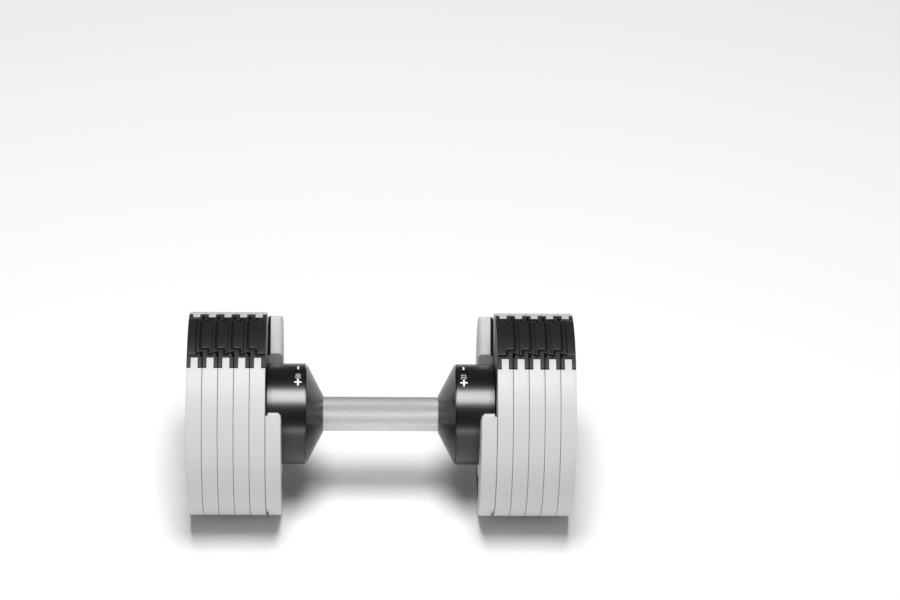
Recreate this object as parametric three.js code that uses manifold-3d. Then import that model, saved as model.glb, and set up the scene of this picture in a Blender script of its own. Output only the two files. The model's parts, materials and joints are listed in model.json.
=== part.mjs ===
// Adjustable dumbbell: two stacks of slotted steel plates, joined by dovetail inserts, on a handle
// whose grip turns a cam sleeve that drives a square lock bar out through each stack.
// Millimetres, +Z up, +X along the handle. The origin is on the floor below the middle of the grip.
import * as THREE from "three";
import { mergeVertices } from "three/addons/utils/BufferGeometryUtils.js";
import Module from "manifold-3d";

const wasm = await Module();
wasm.setup();

// ---------------------------------------------------------------- driving dimensions
const clearance = 0.3; // between pieces that seat on or slide in each other
const overlap = 1; // how far joined shapes and cutters run into or past each other

// Grip and cone cover
const gripRadius = 16;
const gripWall = 2.2;
const gripHalfVisible = 53.2; // middle of the grip to the cone's small end
const gripHidden = 12.3; // length of grip inside each cone
const coneLength = 15.8;
const coneLip = 0.75; // thickness of the cone's edge around the grip
const coneShoulder = 2.5; // from the cone's small end to the bush
const shellWall = 3;
const coneRegisterLength = 1.6; // spigot that centres the cone in the barrel
const coneRegisterWall = 2.5;

// Barrel of the housing
const barrelRadius = 46.6;
const barrelVisible = 22; // from the cone to the horseshoe plate
const barrelSeam = 0.6;
const endWall = 3;
const hubWall = 4.2; // around the bar guide
const ribCount = 3;
const ribThickness = 2.4;
const ribLength = 8;

// Plates
const plateCount = 5; // full plates on each side
const plateRadius = 94;
const plateThickness = 14;
const plateGap = 0.35;
const footHalfWidth = 22; // flat under each plate, on which the dumbbell stands
const slotHalfWidth = 30; // U slot in the steel that holds the insert
const lipReach = 10; // rebate around the slot for the insert's flanges
const lipThickness = 3.85;
const reliefWall = 6; // from the rebate to the cast pocket in the hidden inner face
const reliefRim = 8; // from the pocket to the rim
const reliefTop = 26;
const reliefDepth = 4.2;

// Horseshoe plate
const horseshoeThickness = 14;
const horseshoePlay = 0.9; // between its open slot and the barrel
const horseshoeArmHeight = 33.8; // inner corner of each arm's end, above the axis
const horseshoeArmBevel = 2.5;
const notchWidth = 2.4; // rebate in the lower outer edge, beside plate 1
const notchDepth = 2.6;
const notchAngle = 31; // degrees below the horizontal where it starts
const kidneyInnerWall = 10.5; // steel between the slot and the kidney pocket below it
const kidneyRim = 9; // steel between the pocket and the rim
const kidneyHalfWidth = 44;
const kidneyDepth = 8;
const kidneySink = 0.6; // its insert's face below the plate's

// Dovetail rails of the inserts
const tongueReach = 5.8; // past the plate's outer face
const tongueWall = 4.2; // from the tongue's widest part to the slot's side
const tongueFlare = 2.1; // how much wider each side is at the head than at the root
const railBottom = 24; // above the axis
const railPlay = 0.4;
const grooveDepth = 6.1;
const slitWidth = 0.9; // moulded lines around each pad
const slitDepth = 3;
const padStepInset = 3.5; // from the tongue's root to the pad's wide part
const padEndWall = 3.5; // from the pad's far edge to the slot's side
const slitOutboard = 1.9; // from the plate's outer face to the slit
const padFinger = 4.6; // from the plate's outer face to the pad's narrow end

// Lock bar, follower pin and cam
const barPlay = 0.985; // between the bar's corners and the spine's bore
const barCorner = 1; // chamfer
const barTipLength = 3;
const barTipScale = 0.8;
const barMeetGap = 3.7; // from the middle to each bar's inner end when drawn in
const blindWall = 1.5; // plastic left past the bar in the last insert
const barEndGap = 0.5;
const pinRadius = 2.4;
const pinOffset = 5; // from the bar's inner end
const pinPlay = 0.35;
const pinDepth = 7.5; // into the bar
const pinSink = 0.2; // below the sleeve's outside
const camTurn = 324; // degrees of grip for the whole travel: nine steps of 36

// Tubes on the axis
const sleeveWall = 1.8;
const spineWall = 1.9;
const sleeveEndWall = 1.8;
const sleevePastDial = 7;
const washerThickness = 1.2;
const washerWidth = 5.3;
const ringThickness = 1.2;
const ringWidth = 3.6; // past the spine
const ringGapHalf = 4;
const ringGrooveDepth = 0.7;
const guideLength = 5.3;
const guideWall = 4.38; // plastic at the corners of the bar's hole

// Dial and window
const dialCount = 10;
const dialPlay = 1.4; // inside the barrel
const dialRim = 2.2;
const dialWidth = 11.2;
const dialWeb = 2;
const dialHubWall = 3.7;
const windowFromSeam = 7.3; // to the middle of the window
const windowAxial = 7.9;
const windowAround = 12.4;
const lensInset = 0.5;
const lensThickness = 2;

// Detent, bushes and fasteners
const ballRadius = 2.5;
const detentOutboard = 11.5; // from the dial's hub to the ball's circle
const detentBossRadius = 4.6;
const detentBossGap = 0.5; // past the ball's middle
const detentFloor = 0.4; // of the spring's pocket
const dimpleDepth = 0.8;
const springLength = 9;
const springTurns = 4;
const springWire = 0.35; // radius
const springPlay = 0.2;
const bushWall = 2.65;
const bushFlange = 1.5;
const bushFlangeReach = 2.5;
const coneHubWall = 2.7;
const hubScrewRadius = 2;
const hubScrewWall = 0.8; // of hub each side of its hole
const hubScrewSink = 0.5;
const gripPinRadius = 1.5;
const gripPinInset = 8; // from the cone's small end
const gripPinSink = 0.1; // below the grip's surface
const plateScrewRadius = 2.5;
const plateScrewHead = 4.5;
const plateScrewHeadLength = 4;
const plateScrewSpread = 28; // each side of the middle
const plateScrewReach = 8; // into plate 1's steel

// Facets
const rimFacets = 40; // plates; a multiple of 4
const slotFacets = 8; // the half circle under a slot
const shellFacets = 32; // housing, cone, dial and grip
const tubeFacets = 20;
const smallFacets = 12;

// ---------------------------------------------------------------- worked-out stations
// Plates
const platePitch = plateThickness + plateGap;
const axisHeight = Math.sqrt(plateRadius ** 2 - footHalfWidth ** 2);
const lipHalfWidth = slotHalfWidth + lipReach;
const reliefInner = lipHalfWidth + reliefWall;
const reliefOuter = plateRadius - reliefRim;
const horseshoeSlotHalf = barrelRadius + horseshoePlay;
const kidneyInner = horseshoeSlotHalf + kidneyInnerWall;
const kidneyOuter = plateRadius - kidneyRim;
const screwPitchRadius = (kidneyInner + kidneyOuter) / 2;
const tongueHeadHalf = slotHalfWidth - tongueWall;
const tongueRootHalf = tongueHeadHalf - tongueFlare;
const tongueSlope = tongueFlare / tongueReach;
const padStepHalf = tongueRootHalf - padStepInset;
const padEndHalf = slotHalfWidth - padEndWall;

// Tubes and bar, from the grip inwards
const gripBore = gripRadius - gripWall;
const gripHalf = gripHalfVisible + gripHidden;
const sleeveOuter = gripBore - clearance;
const sleeveInner = sleeveOuter - sleeveWall;
const spineOuter = sleeveInner - clearance;
const spineInner = spineOuter - spineWall;
const barReach = spineInner - barPlay; // from the axis to a corner of the bar's chamfer
const barHalf = (barCorner + Math.sqrt(2 * barReach ** 2 - barCorner ** 2)) / 2;
const barHoleHalf = barHalf + clearance;
const guideRadius = barHoleHalf * Math.SQRT2 + guideWall;
const hubRadius = guideRadius + clearance + hubWall;
const bushOuter = gripRadius + clearance + bushWall;

// Barrel, dial and window
const barrelBore = barrelRadius - shellWall;
const seam = gripHalfVisible + coneLength;
const barrelStart = seam + barrelSeam;
const dialRadius = barrelBore - dialPlay;
const dialBore = sleeveOuter + clearance;
const dialHub = dialBore + dialHubWall;
const dialStart = seam + coneRegisterLength + clearance;
const dialEnd = dialStart + dialWidth;
const detentRadius = dialHub + detentOutboard;
const windowStation = seam + windowFromSeam;

// Cam, bar travel and what follows along the axis
const travel = plateCount * platePitch;
const barInner = barMeetGap + travel;
const pinStation = barInner + pinOffset;
const slotHalf = pinRadius + pinPlay;
const camRise = travel / THREE.MathUtils.degToRad(camTurn); // mm per radian
const camMean = (sleeveInner + sleeveOuter) / 2;
const camHalfAxial = slotHalf * Math.hypot(1, camRise / camMean);
const camRunOut = slotHalf / sleeveInner; // radians past the pin's centre
const camEnd = pinStation + camRise * camRunOut + camHalfAxial + sleeveEndWall;
const sleeveHalf = Math.max(camEnd, dialEnd + sleevePastDial);
const washerStart = sleeveHalf + clearance;
const ringStart = washerStart + washerThickness + clearance;
const hubStart = ringStart + ringThickness + clearance;
const hubLength = 2 * (hubScrewRadius + clearance + hubScrewWall);
const guideSeatLength = guideLength + clearance;
const housingEnd = hubStart + hubLength + clearance + guideSeatLength; // shortest that holds the cam

// Stack
const horseshoeInner = Math.max(seam + barrelVisible, housingEnd - horseshoeThickness + clearance);
const horseshoeOuter = horseshoeInner + horseshoeThickness;
const stackStart = horseshoeOuter + plateGap;
const stackEnd = stackStart + plateCount * platePitch - plateGap;
const barrelEnd = horseshoeOuter - clearance;
const spineHalf = barrelEnd - guideSeatLength - clearance;
const barTip = stackEnd - blindWall - barEndGap;

// ---------------------------------------------------------------- solid helpers
// A sketch's first axis runs along +Y and its second along +Z, and it is extruded along +X.
const SKETCH_TO_X = new THREE.Matrix4().makeBasis(
  new THREE.Vector3(0, 1, 0),
  new THREE.Vector3(0, 0, 1),
  new THREE.Vector3(1, 0, 0),
);

// A closed geometry as a solid. Triangles that fall on one edge or point are dropped.
function solid(geometry) {
  const bare = geometry.clone();
  for (const name of Object.keys(bare.attributes))
    if (name !== "position") bare.deleteAttribute(name);
  const merged = mergeVertices(bare, 1e-4);
  const from = merged.index.array;
  const kept = [];
  for (let i = 0; i < from.length; i += 3) {
    const [a, b, c] = [from[i], from[i + 1], from[i + 2]];
    if (a !== b && b !== c && c !== a) kept.push(a, b, c);
  }
  const build = (triVerts) =>
    new wasm.Manifold(
      new wasm.Mesh({
        numProp: 3,
        vertProperties: merged.attributes.position.array,
        triVerts: new Uint32Array(triVerts),
      }),
    );
  const made = build(kept);
  return made.volume() < 0 ? build(kept.reverse()) : made;
}

function geometryOf(made) {
  const mesh = made.getMesh();
  const geometry = new THREE.BufferGeometry();
  geometry.setAttribute("position", new THREE.BufferAttribute(mesh.vertProperties, 3));
  geometry.setIndex(new THREE.BufferAttribute(mesh.triVerts, 1));
  const flat = geometry.toNonIndexed();
  flat.computeVertexNormals();
  return flat;
}

const join = (...solids) => solids.reduce((whole, next) => whole.add(next));
const cut = (whole, ...cutters) => cutters.reduce((left, next) => left.subtract(next), whole);

function polygon(points) {
  return new THREE.Shape(points.map(([a, b]) => new THREE.Vector2(a, b)));
}

function extrudeX(shape, x0, x1) {
  const geometry = new THREE.ExtrudeGeometry(shape, { depth: x1 - x0, bevelEnabled: false });
  return solid(geometry.translate(0, 0, x0).applyMatrix4(SKETCH_TO_X));
}

function extrudeZ(shape, z0, z1) {
  const geometry = new THREE.ExtrudeGeometry(shape, { depth: z1 - z0, bevelEnabled: false });
  return solid(geometry.translate(0, 0, z0));
}

function box(x0, x1, y0, y1, z0, z1) {
  const geometry = new THREE.BoxGeometry(x1 - x0, y1 - y0, z1 - z0);
  return solid(geometry.translate((x0 + x1) / 2, (y0 + y1) / 2, (z0 + z1) / 2));
}

// A closed profile of [x, radius] points turned about the X axis, with a facet's corner at the top.
function revolve(profile, facets = tubeFacets) {
  const points = profile.map(([x, r]) => new THREE.Vector2(r, x));
  points.push(points[0].clone());
  const geometry = new THREE.LatheGeometry(points, facets);
  return solid(geometry.rotateZ(-Math.PI / 2));
}

const ring = (x0, x1, inner, outer, facets) =>
  revolve([[x0, inner], [x0, outer], [x1, outer], [x1, inner]], facets);
const rod = (x0, x1, radius, facets) => ring(x0, x1, 0, radius, facets);

// A rod or ring moved to another parallel axis.
const at = (made, y, z) => solid(geometryOf(made).translate(0, y, z));

// A solid skinned over rings of points that correspond one to one, closed by a fan at each end.
function loft(rings) {
  const n = rings[0].length;
  const positions = rings.flat().flatMap((p) => [p.x, p.y, p.z]);
  const index = [];
  for (let i = 0; i + 1 < rings.length; i++)
    for (let j = 0; j < n; j++) {
      const [a, b] = [i * n + j, i * n + ((j + 1) % n)];
      index.push(a, b, b + n, a, b + n, a + n);
    }
  const last = (rings.length - 1) * n;
  for (let j = 1; j + 1 < n; j++) index.push(0, j + 1, j, last, last + j, last + j + 1);
  const geometry = new THREE.BufferGeometry();
  geometry.setAttribute("position", new THREE.Float32BufferAttribute(positions, 3));
  geometry.setIndex(index);
  return solid(geometry);
}

// The outline of an upright U about the axis: straight sides up past the rim, a half circle below.
// The facets lie outside the circle, so that what turns or seats inside it stays clear.
function uShape(halfWidth) {
  const points = [[halfWidth, plateRadius + 2], [-halfWidth, plateRadius + 2]];
  const step = Math.PI / slotFacets;
  const corner = halfWidth / Math.cos(step / 2);
  for (let i = 0; i < slotFacets; i++) {
    const angle = Math.PI + (i + 0.5) * step;
    points.push([corner * Math.cos(angle), corner * Math.sin(angle)]);
  }
  return polygon(points);
}

// A wedge from the axis between two angles, in degrees from +Y towards +Z.
function wedge(x0, x1, from, to, reach) {
  const points = [[0, 0]];
  const steps = 6;
  for (let i = 0; i <= steps; i++) {
    const angle = THREE.MathUtils.degToRad(from + ((to - from) * i) / steps);
    points.push([reach * Math.cos(angle), reach * Math.sin(angle)]);
  }
  return extrudeX(polygon(points), x0, x1);
}

// A socket-head screw along X: head at x0, shank beyond it.
function screw(x0, headLength, headRadius, shankLength, shankRadius) {
  const body = join(
    rod(x0, x0 + headLength, headRadius, smallFacets),
    rod(x0 + headLength - overlap, x0 + headLength + shankLength, shankRadius, smallFacets),
  );
  return cut(body, rod(x0 - 1, x0 + headLength * 0.6, headRadius * 0.5, 6));
}

// ---------------------------------------------------------------- plates and inserts
// The round outline that all plates share, with the flat foot.
function discBlank(x0, x1, radius = plateRadius) {
  return cut(
    rod(x0, x1, radius, rimFacets),
    box(x0 - overlap, x1 + overlap, -plateRadius, plateRadius, -2 * plateRadius, -axisHeight),
  );
}

function plateSteel(k) {
  const x0 = stackStart + (k - 1) * platePitch;
  const x1 = x0 + plateThickness;
  const relief = cut(
    ring(x0 - overlap, x0 + reliefDepth, reliefInner, reliefOuter, tubeFacets),
    box(x0 - 2 * overlap, x1, -plateRadius, plateRadius, reliefTop, plateRadius + overlap),
  );
  let steel = cut(
    discBlank(x0, x1),
    extrudeX(uShape(slotHalfWidth), x0 - overlap, x1 + overlap),
    extrudeX(uShape(lipHalfWidth), x0 - overlap, x0 + lipThickness),
    extrudeX(uShape(lipHalfWidth), x1 - lipThickness, x1 + overlap),
    relief,
  );
  if (k === 1) for (const side of [-1, 1]) steel = cut(steel, plateScrewHole(side, clearance));
  return steel;
}

// Half-width of the dovetail at a distance past the plate's outer face.
const dovetail = (reach) => tongueRootHalf + tongueSlope * reach;

// The tongue on the outer face, which slides up out of the next plate's groove.
function tongue(face) {
  const root = face - overlap;
  const shape = polygon([
    [root, -dovetail(-overlap)],
    [face + tongueReach, -tongueHeadHalf],
    [face + tongueReach, tongueHeadHalf],
    [root, dovetail(-overlap)],
  ]);
  const rail = extrudeZ(shape, railBottom, plateRadius + overlap);
  return rail.intersect(rod(root - overlap, face + tongueReach + overlap, plateRadius, rimFacets));
}

// The groove in the inner face, open at the rim, that takes the inner neighbour's tongue.
function groove(face) {
  const half = (depth) => dovetail(depth + plateGap) + railPlay;
  const shape = polygon([
    [face - overlap, -half(-overlap)],
    [face + grooveDepth, -half(grooveDepth)],
    [face + grooveDepth, half(grooveDepth)],
    [face - overlap, half(-overlap)],
  ]);
  return extrudeZ(shape, railBottom - railPlay, plateRadius + overlap);
}

// The moulded lines in the rim that outline the pad between two rails.
function padLines(face, first, last) {
  const line = (x0, x1, y0, y1) => box(x0, x1, y0, y1, 0, plateRadius + overlap);
  const lineEnd = first ? face - plateThickness - 1 : face - plateThickness + grooveDepth - overlap;
  const lineStart = last ? face + 1 : face - padFinger;
  const lines = [];
  if (!last)
    lines.push(
      line(face + slitOutboard, face + slitOutboard + slitWidth, -padStepHalf, padStepHalf),
    );
  for (const side of [-1, 1]) {
    const span = (a, b) => (side > 0 ? [a, b] : [-b, -a]);
    lines.push(line(lineEnd, lineStart, ...span(padEndHalf, padEndHalf + slitWidth)));
    if (last) continue;
    const [a, b] = span(padStepHalf, padStepHalf + slitWidth);
    lines.push(line(face - padFinger - slitWidth, face + slitOutboard + slitWidth, a, b));
    const [c, d] = span(padStepHalf, padEndHalf + slitWidth);
    lines.push(line(face - padFinger - slitWidth, face - padFinger, c, d));
  }
  return cut(join(...lines), rod(0, stackEnd + 20, plateRadius - slitDepth, rimFacets));
}

function barHole(x0, x1) {
  return box(x0, x1, -barHoleHalf, barHoleHalf, -barHoleHalf, barHoleHalf);
}

function insert(k) {
  const [first, last] = [k === 1, k === plateCount];
  const x0 = stackStart + (k - 1) * platePitch;
  const x1 = x0 + plateThickness;
  const flange = uShape(lipHalfWidth - clearance);
  const blank = join(
    extrudeX(uShape(slotHalfWidth - clearance), x0, x1),
    extrudeX(flange, x0, x0 + lipThickness - clearance),
    extrudeX(flange, x1 - lipThickness + clearance, x1),
  ).intersect(discBlank(x0 - overlap, x1 + overlap));
  const holeEnd = last ? x1 - blindWall : x1 + 1;
  const railed = cut(last ? blank : join(blank, tongue(x1)), barHole(x0 - overlap, holeEnd));
  const grooved = first ? railed : cut(railed, groove(x0));
  return cut(grooved, padLines(x1, first, last));
}

// ---------------------------------------------------------------- horseshoe plate
// Clearance hole, or screw seat, for one of the two screws that tie the horseshoe to plate 1.
function plateScrewHole(side, play) {
  const y = side * plateScrewSpread;
  const z = -Math.sqrt(screwPitchRadius ** 2 - plateScrewSpread ** 2);
  const headEnd = horseshoeInner + kidneySink + plateScrewHeadLength + play;
  const end = stackStart + reliefDepth + plateScrewReach + 1;
  return at(
    join(
      rod(horseshoeInner - overlap, headEnd, plateScrewHead + play, smallFacets),
      rod(horseshoeInner, end, plateScrewRadius + play, smallFacets),
    ),
    y,
    z,
  );
}

function plateScrew(side) {
  const y = side * plateScrewSpread;
  const z = -Math.sqrt(screwPitchRadius ** 2 - plateScrewSpread ** 2);
  const shank = stackStart + reliefDepth + plateScrewReach - horseshoeInner - plateScrewHeadLength;
  return at(
    screw(horseshoeInner + kidneySink, plateScrewHeadLength, plateScrewHead, shank, plateScrewRadius),
    y,
    z,
  );
}

// The kidney outline below the barrel: a ring sector with its sides cut upright.
function kidney(x0, x1, play) {
  const sector = ring(x0, x1, kidneyInner - play, kidneyOuter + play, rimFacets);
  const half = kidneyHalfWidth + play;
  return sector.intersect(box(x0 - overlap, x1 + overlap, -half, half, -plateRadius, 0));
}

function horseshoe() {
  const [x0, x1] = [horseshoeInner, horseshoeOuter];
  const reach = plateRadius;
  const corner = horseshoeSlotHalf;
  const armCut = polygon([
    [corner, horseshoeArmHeight],
    [corner + reach, horseshoeArmHeight + reach],
    [-corner - reach, horseshoeArmHeight + reach],
    [-corner, horseshoeArmHeight],
  ]);
  let plate = cut(
    discBlank(x0, x1),
    extrudeX(uShape(horseshoeSlotHalf), x0 - overlap, x1 + overlap),
    extrudeX(armCut, x0 - overlap, x1 + overlap),
    kidney(x0 - overlap, x0 + kidneyDepth, clearance),
    notch(x1),
  );
  for (const side of [-1, 1]) {
    for (const face of [x0, x1]) plate = cut(plate, armBevel(side, face));
    plate = cut(plate, plateScrewHole(side, clearance));
  }
  return plate;
}

// The rebate along the lower outer edge.
function notch(face) {
  const band = ring(face - notchWidth, face + overlap, plateRadius - notchDepth, plateRadius + 4, rimFacets);
  const sector = wedge(face - notchWidth, face + overlap, notchAngle - 180, -notchAngle, 2 * plateRadius);
  return band.intersect(sector);
}

// A square bar turned 45 degrees about an edge of an arm's sloping end, so that it planes the edge off.
function armBevel(side, face) {
  const width = horseshoeArmBevel * Math.SQRT2;
  const geometry = new THREE.BoxGeometry(width, 2 * plateRadius, width);
  geometry.rotateY(Math.PI / 4).rotateX(Math.PI / 4);
  geometry.translate(face, horseshoeSlotHalf, horseshoeArmHeight);
  if (side < 0) geometry.applyMatrix4(new THREE.Matrix4().makeScale(1, -1, 1));
  return solid(geometry);
}

function horseshoeInsert() {
  const x0 = horseshoeInner + kidneySink;
  const x1 = horseshoeInner + kidneyDepth - clearance;
  let made = kidney(x0, x1, 0);
  for (const side of [-1, 1]) made = cut(made, plateScrewHole(side, clearance));
  return made;
}

// ---------------------------------------------------------------- housing
// Half section of the cone cover: outer cone, register spigot, hub for the grip's bush.
function coneCover() {
  const bore = gripRadius + clearance;
  const lip = bore + coneLip;
  const slope = coneLength / (barrelRadius - lip);
  const shift = shellWall * Math.hypot(1, slope); // wall measured along the axis
  const inside = (r) => gripHalfVisible + (r - lip) * slope + shift;
  const registerOuter = barrelBore - clearance;
  const registerInner = registerOuter - coneRegisterWall;
  const hub = bushOuter + clearance + coneHubWall;
  const registerEnd = seam + coneRegisterLength;
  const shoulder = gripHalfVisible + coneShoulder;
  return revolve(
    [
      [gripHalfVisible, bore],
      [gripHalfVisible, lip],
      [seam, barrelRadius],
      [seam, registerOuter],
      [registerEnd, registerOuter],
      [registerEnd, registerInner],
      [inside(registerInner), registerInner],
      [inside(hub), hub],
      [gripHalf, hub],
      [gripHalf, bushOuter + clearance],
      [shoulder, bushOuter + clearance],
      [shoulder, bore],
    ],
    shellFacets,
  );
}

function gripBush() {
  const start = gripHalfVisible + coneShoulder + clearance;
  const inner = gripRadius + clearance;
  const flange = gripHalf + clearance;
  return revolve([
    [start, inner],
    [start, bushOuter],
    [flange, bushOuter],
    [flange, bushOuter + bushFlangeReach],
    [flange + bushFlange, bushOuter + bushFlangeReach],
    [flange + bushFlange, inner],
  ]);
}

function barrel(withDetent) {
  const wallStart = barrelEnd - endWall;
  const guideSeat = guideRadius + clearance;
  const shell = revolve(
    [
      [barrelStart, barrelBore],
      [barrelStart, barrelRadius],
      [barrelEnd, barrelRadius],
      [barrelEnd, guideSeat],
      [barrelEnd - guideSeatLength, guideSeat],
      [barrelEnd - guideSeatLength, sleeveInner],
      [hubStart, sleeveInner],
      [hubStart, hubRadius],
      [wallStart, hubRadius],
      [wallStart, barrelBore],
    ],
    shellFacets,
  );
  const ribs = [];
  for (let i = 0; i < ribCount; i++) {
    const height = barrelBore - hubRadius + 2 * overlap;
    const rib = new THREE.BoxGeometry(ribLength + overlap, ribThickness, height);
    rib.translate(wallStart - (ribLength - overlap) / 2, 0, (barrelBore + hubRadius) / 2);
    ribs.push(solid(rib.rotateX((2 * Math.PI * i) / ribCount)));
  }
  const body = join(shell, ...ribs);
  const opening = box(
    windowStation - windowAxial / 2,
    windowStation + windowAxial / 2,
    -windowAround / 2,
    windowAround / 2,
    barrelBore - shellWall,
    barrelRadius + overlap,
  );
  const fitted = cut(body, opening, hubScrewHole(clearance));
  if (!withDetent) return fitted;
  const bossStart = dialEnd + clearance + ballRadius + detentBossGap;
  const boss = rod(bossStart, wallStart + overlap, detentBossRadius, smallFacets);
  const pocketEnd = wallStart - detentFloor;
  const pocket = rod(bossStart - overlap, pocketEnd, ballRadius + clearance, smallFacets);
  return cut(join(fitted, at(boss, 0, -detentRadius)), at(pocket, 0, -detentRadius));
}

// Upright cylinder on the axis' plane y = 0, from height z0 to z1.
function post(x, z0, z1, radius, facets = smallFacets) {
  const turned = Math.PI / facets; // keeps the facets' corners off the tubes' own corners
  const made = new THREE.CylinderGeometry(radius, radius, z1 - z0, facets, 1, false, turned);
  return solid(made.rotateX(Math.PI / 2).translate(x, 0, (z0 + z1) / 2));
}

const hubScrewStation = () => (hubStart + spineHalf) / 2;
const hubScrewHole = (play) =>
  post(hubScrewStation(), -hubRadius - overlap, -spineInner, hubScrewRadius + play);

function hubScrew() {
  const head = -hubRadius + hubScrewSink;
  const body = post(hubScrewStation(), head, -spineInner - clearance, hubScrewRadius);
  const socket = hubScrewRadius / 2;
  return cut(body, post(hubScrewStation(), head - overlap, head + 1.5 * socket, socket, 6));
}

function dialWindow() {
  const outer = barrelRadius - lensInset;
  return ring(
    windowStation - windowAxial / 2 + clearance,
    windowStation + windowAxial / 2 - clearance,
    outer - lensThickness,
    outer,
    4 * shellFacets,
  ).intersect(
    box(seam, dialEnd, clearance - windowAround / 2, windowAround / 2 - clearance, 0, barrelRadius),
  );
}

// ---------------------------------------------------------------- turning parts
const gripPinStation = gripHalfVisible + gripPinInset;

// Hole, or pin, that keys the cam sleeve to the grip inside the cone.
const gripPinBody = (radius, z0, z1) => post(gripPinStation, z0, z1, radius);

function gripTube() {
  const hole = gripPinBody(gripPinRadius + clearance, gripBore - 2, gripRadius + 2);
  const tube = ring(-gripHalf, gripHalf, gripBore, gripRadius, shellFacets);
  return cut(tube, hole, mirrored(hole));
}

const mirrored = (made) =>
  solid(geometryOf(made).applyMatrix4(new THREE.Matrix4().makeScale(-1, 1, 1)));

// The slanting slot that draws the follower pin inwards as the sleeve turns.
function camSlot() {
  const turn = THREE.MathUtils.degToRad(camTurn);
  const steps = 18;
  const rings = [];
  for (let i = 0; i <= steps; i++) {
    const swept = -camRunOut + ((turn + 2 * camRunOut) * i) / steps;
    const angle = Math.PI / 2 + swept;
    const x = pinStation - camRise * swept;
    const corner = (dx, r) => new THREE.Vector3(x + dx, r * Math.cos(angle), r * Math.sin(angle));
    const [low, high] = [sleeveInner - overlap, sleeveOuter + overlap];
    rings.push([
      corner(-camHalfAxial, low),
      corner(camHalfAxial, low),
      corner(camHalfAxial, high),
      corner(-camHalfAxial, high),
    ]);
  }
  return loft(rings);
}

function camSleeve() {
  const slot = camSlot();
  const pinHole = gripPinBody(gripPinRadius + clearance, sleeveInner - overlap, sleeveOuter + overlap);
  const tube = ring(-sleeveHalf, sleeveHalf, sleeveInner, sleeveOuter);
  return cut(tube, slot, mirrored(slot), pinHole, mirrored(pinHole));
}

function spineTube() {
  const tube = ring(-spineHalf, spineHalf, spineInner, spineOuter);
  const slot = box(
    pinStation - travel - slotHalf,
    pinStation + slotHalf,
    -slotHalf,
    slotHalf,
    0,
    spineOuter + overlap,
  );
  const groove = ring(
    ringStart - clearance,
    ringStart + ringThickness + clearance,
    spineOuter - ringGrooveDepth,
    spineOuter + overlap,
  );
  const screwHole = hubScrewHole(clearance);
  return [slot, groove, screwHole].reduce((left, c) => cut(left, c, mirrored(c)), tube);
}

function dial() {
  const [x0, x1] = [dialStart, dialEnd];
  const body = revolve(
    [
      [x0, dialRadius - dialRim],
      [x0, dialRadius],
      [x1, dialRadius],
      [x1, dialBore],
      [x0, dialBore],
      [x0, dialHub],
      [x1 - dialWeb, dialHub],
      [x1 - dialWeb, dialRadius - dialRim],
    ],
    shellFacets,
  );
  const dimples = [];
  for (let i = 0; i < dialCount; i++) {
    const height = dimpleDepth + clearance;
    const cone = new THREE.ConeGeometry(2 * dimpleDepth, height, 8);
    cone.rotateZ(Math.PI / 2).translate(x1 - dimpleDepth + height / 2, 0, -detentRadius);
    dimples.push(solid(cone.rotateX((2 * Math.PI * i) / dialCount)));
  }
  return cut(body, ...dimples);
}

// ---------------------------------------------------------------- sliding and small parts
function lockBar() {
  const half = barHalf;
  const corner = half - barCorner;
  const section = (x, scale) =>
    [
      [half, -corner],
      [half, corner],
      [corner, half],
      [-corner, half],
      [-half, corner],
      [-half, -corner],
      [-corner, -half],
      [corner, -half],
    ].map(([y, z]) => new THREE.Vector3(x, y * scale, z * scale));
  const bar = loft([
    section(barInner, 1),
    section(barTip - barTipLength, 1),
    section(barTip, barTipScale),
  ]);
  return cut(bar, post(pinStation, half - pinDepth - clearance, half + overlap, pinRadius + clearance));
}

const followerPin = () => post(pinStation, barHalf - pinDepth, sleeveOuter - pinSink, pinRadius);

function barGuide() {
  const start = barrelEnd - guideLength;
  return cut(rod(start, barrelEnd - clearance, guideRadius), barHole(start - overlap, barrelEnd));
}

const thrustWasher = () =>
  ring(washerStart, washerStart + washerThickness, sleeveInner, sleeveInner + washerWidth);

function retainingRing() {
  const band = ring(
    ringStart,
    ringStart + ringThickness,
    spineOuter - ringGrooveDepth + clearance,
    spineOuter + ringWidth,
  );
  const end = ringStart + ringThickness + overlap;
  return cut(band, box(ringStart - overlap, end, -ringGapHalf, ringGapHalf, 0, 2 * spineOuter));
}

function detentBall() {
  const ball = new THREE.SphereGeometry(ballRadius, 12, 8);
  return solid(ball.translate(dialEnd + clearance + ballRadius, 0, -detentRadius));
}

function detentSpring() {
  const start = dialEnd + 2 * clearance + 2 * ballRadius + springWire;
  const coil = ballRadius - springWire - springPlay;
  const [perTurn, around] = [8, 4];
  const steps = springTurns * perTurn;
  const rings = [];
  for (let i = 0; i <= steps; i++) {
    const angle = (2 * Math.PI * i) / perTurn;
    const x = start + (springLength * i) / steps;
    const section = [];
    for (let j = 0; j < around; j++) {
      const a = (2 * Math.PI * j) / around;
      const r = coil + springWire * Math.cos(a);
      const p = new THREE.Vector3(x + springWire * Math.sin(a), 0, 0);
      p.y = r * Math.cos(angle);
      p.z = r * Math.sin(angle) - detentRadius;
      section.push(p);
    }
    rings.push(section);
  }
  return loft(rings);
}

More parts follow.
